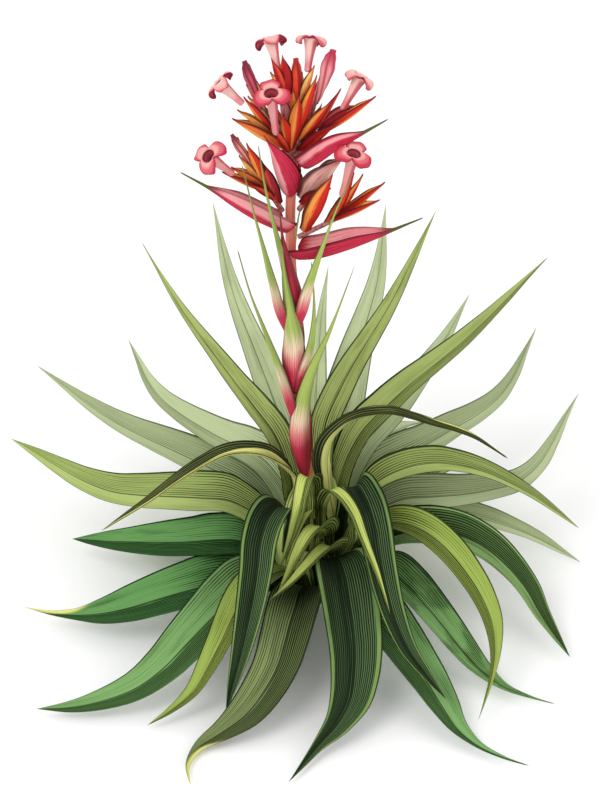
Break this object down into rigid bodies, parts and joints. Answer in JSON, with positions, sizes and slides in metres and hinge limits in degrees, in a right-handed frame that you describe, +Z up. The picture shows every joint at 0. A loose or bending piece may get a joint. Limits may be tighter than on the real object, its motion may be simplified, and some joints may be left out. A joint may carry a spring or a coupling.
{
  "type": "tillandsia plant",
  "caption": "Flowering air plant: a rosette of channelled pointed leaves round a bulb-like crown, with a leaning stalk of bracts and rolled-back tubular blooms.",
  "frame": {"origin": "middle of the flat spot under the crown, on the surface the plant rests on", "axes": "+Z up along the crown, -Y to the plant's front, +X to its right seen from the front"},
  "size_m": [0.2383, 0.2737, 0.2561],
  "materials": {
    "leaf_pale": "matt pale grey-green leaf with fine lengthwise veins",
    "leaf_green": "satin green leaf with a darker half and thin dark margins",
    "leaf_emerald": "satin emerald leaf with a dark lower half and a yellow tip",
    "leaf_dark": "satin very dark green leaf with green margins",
    "sheath": "matt yellow-green leaf sheaths",
    "scape": "satin salmon stalk with pink bract bases and green needle tips",
    "primary_bract": "satin crimson bract with a pale pink upper face",
    "floral_bract": "satin orange-red bract with a yellow-orange face",
    "petal": "matt pale pink petals with crimson backs and a maroon throat"
  },
  "bodies": {
    "root": {"crown": "sheath", "leaf_low_left_1": "leaf_emerald", "leaf_low_left_2": "leaf_emerald", "leaf_low_left_3": "leaf_green", "leaf_low_left_4": "leaf_green", "leaf_front_left_1": "leaf_dark", "leaf_front_left_2": "leaf_dark", "leaf_front_1": "leaf_dark", "leaf_front_right_1": "leaf_green", "leaf_front_right_2": "leaf_green", "leaf_front_right_3": "leaf_dark", "leaf_front_right_4": "leaf_green", "leaf_front_right_5": "leaf_green", "leaf_low_right_1": "leaf_dark", "leaf_side_left_1": "leaf_green", "leaf_side_left_2": "leaf_dark", "leaf_side_right_1": "leaf_green", "leaf_side_right_2": "leaf_dark", "leaf_back_left_1": "leaf_pale", "leaf_back_left_2": "leaf_pale", "leaf_back_left_3": "leaf_pale", "leaf_back_1": "leaf_pale", "leaf_back_2": "leaf_pale", "leaf_back_right_1": "leaf_pale", "leaf_back_right_2": "leaf_pale", "leaf_back_right_3": "leaf_pale", "leaf_low_right_2": "leaf_pale", "leaf_upper_left": "leaf_green", "leaf_upper_right_1": "leaf_green", "leaf_upper_right_2": "leaf_green", "leaf_young_1": "leaf_green", "leaf_young_2": "leaf_green", "leaf_young_3": "leaf_green", "leaf_young_4": "leaf_green", "leaf_young_5": "leaf_green", "leaf_hidden_1": "leaf_green", "leaf_hidden_2": "leaf_green", "leaf_hidden_3": "leaf_green", "leaf_hidden_4": "leaf_green", "leaf_hidden_5": "leaf_green", "leaf_hidden_6": "leaf_green", "flower_stalk": "scape", "primary_bract_right": "primary_bract", "primary_bract_left": "primary_bract", "primary_bract_front": "primary_bract", "primary_bract_upper": "primary_bract", "spikes_upper": "floral_bract", "spike_lower_left": "floral_bract", "spike_middle_right": "floral_bract", "spike_lower_right": "floral_bract", "spike_back": "floral_bract", "bloom_left": "petal", "bloom_upper_left": "petal", "bloom_face_left": "petal", "bloom_top_left": "petal", "bloom_top_right": "petal", "bloom_right": "petal", "bloom_face_right": "petal"}
  },
  "joints": []
}
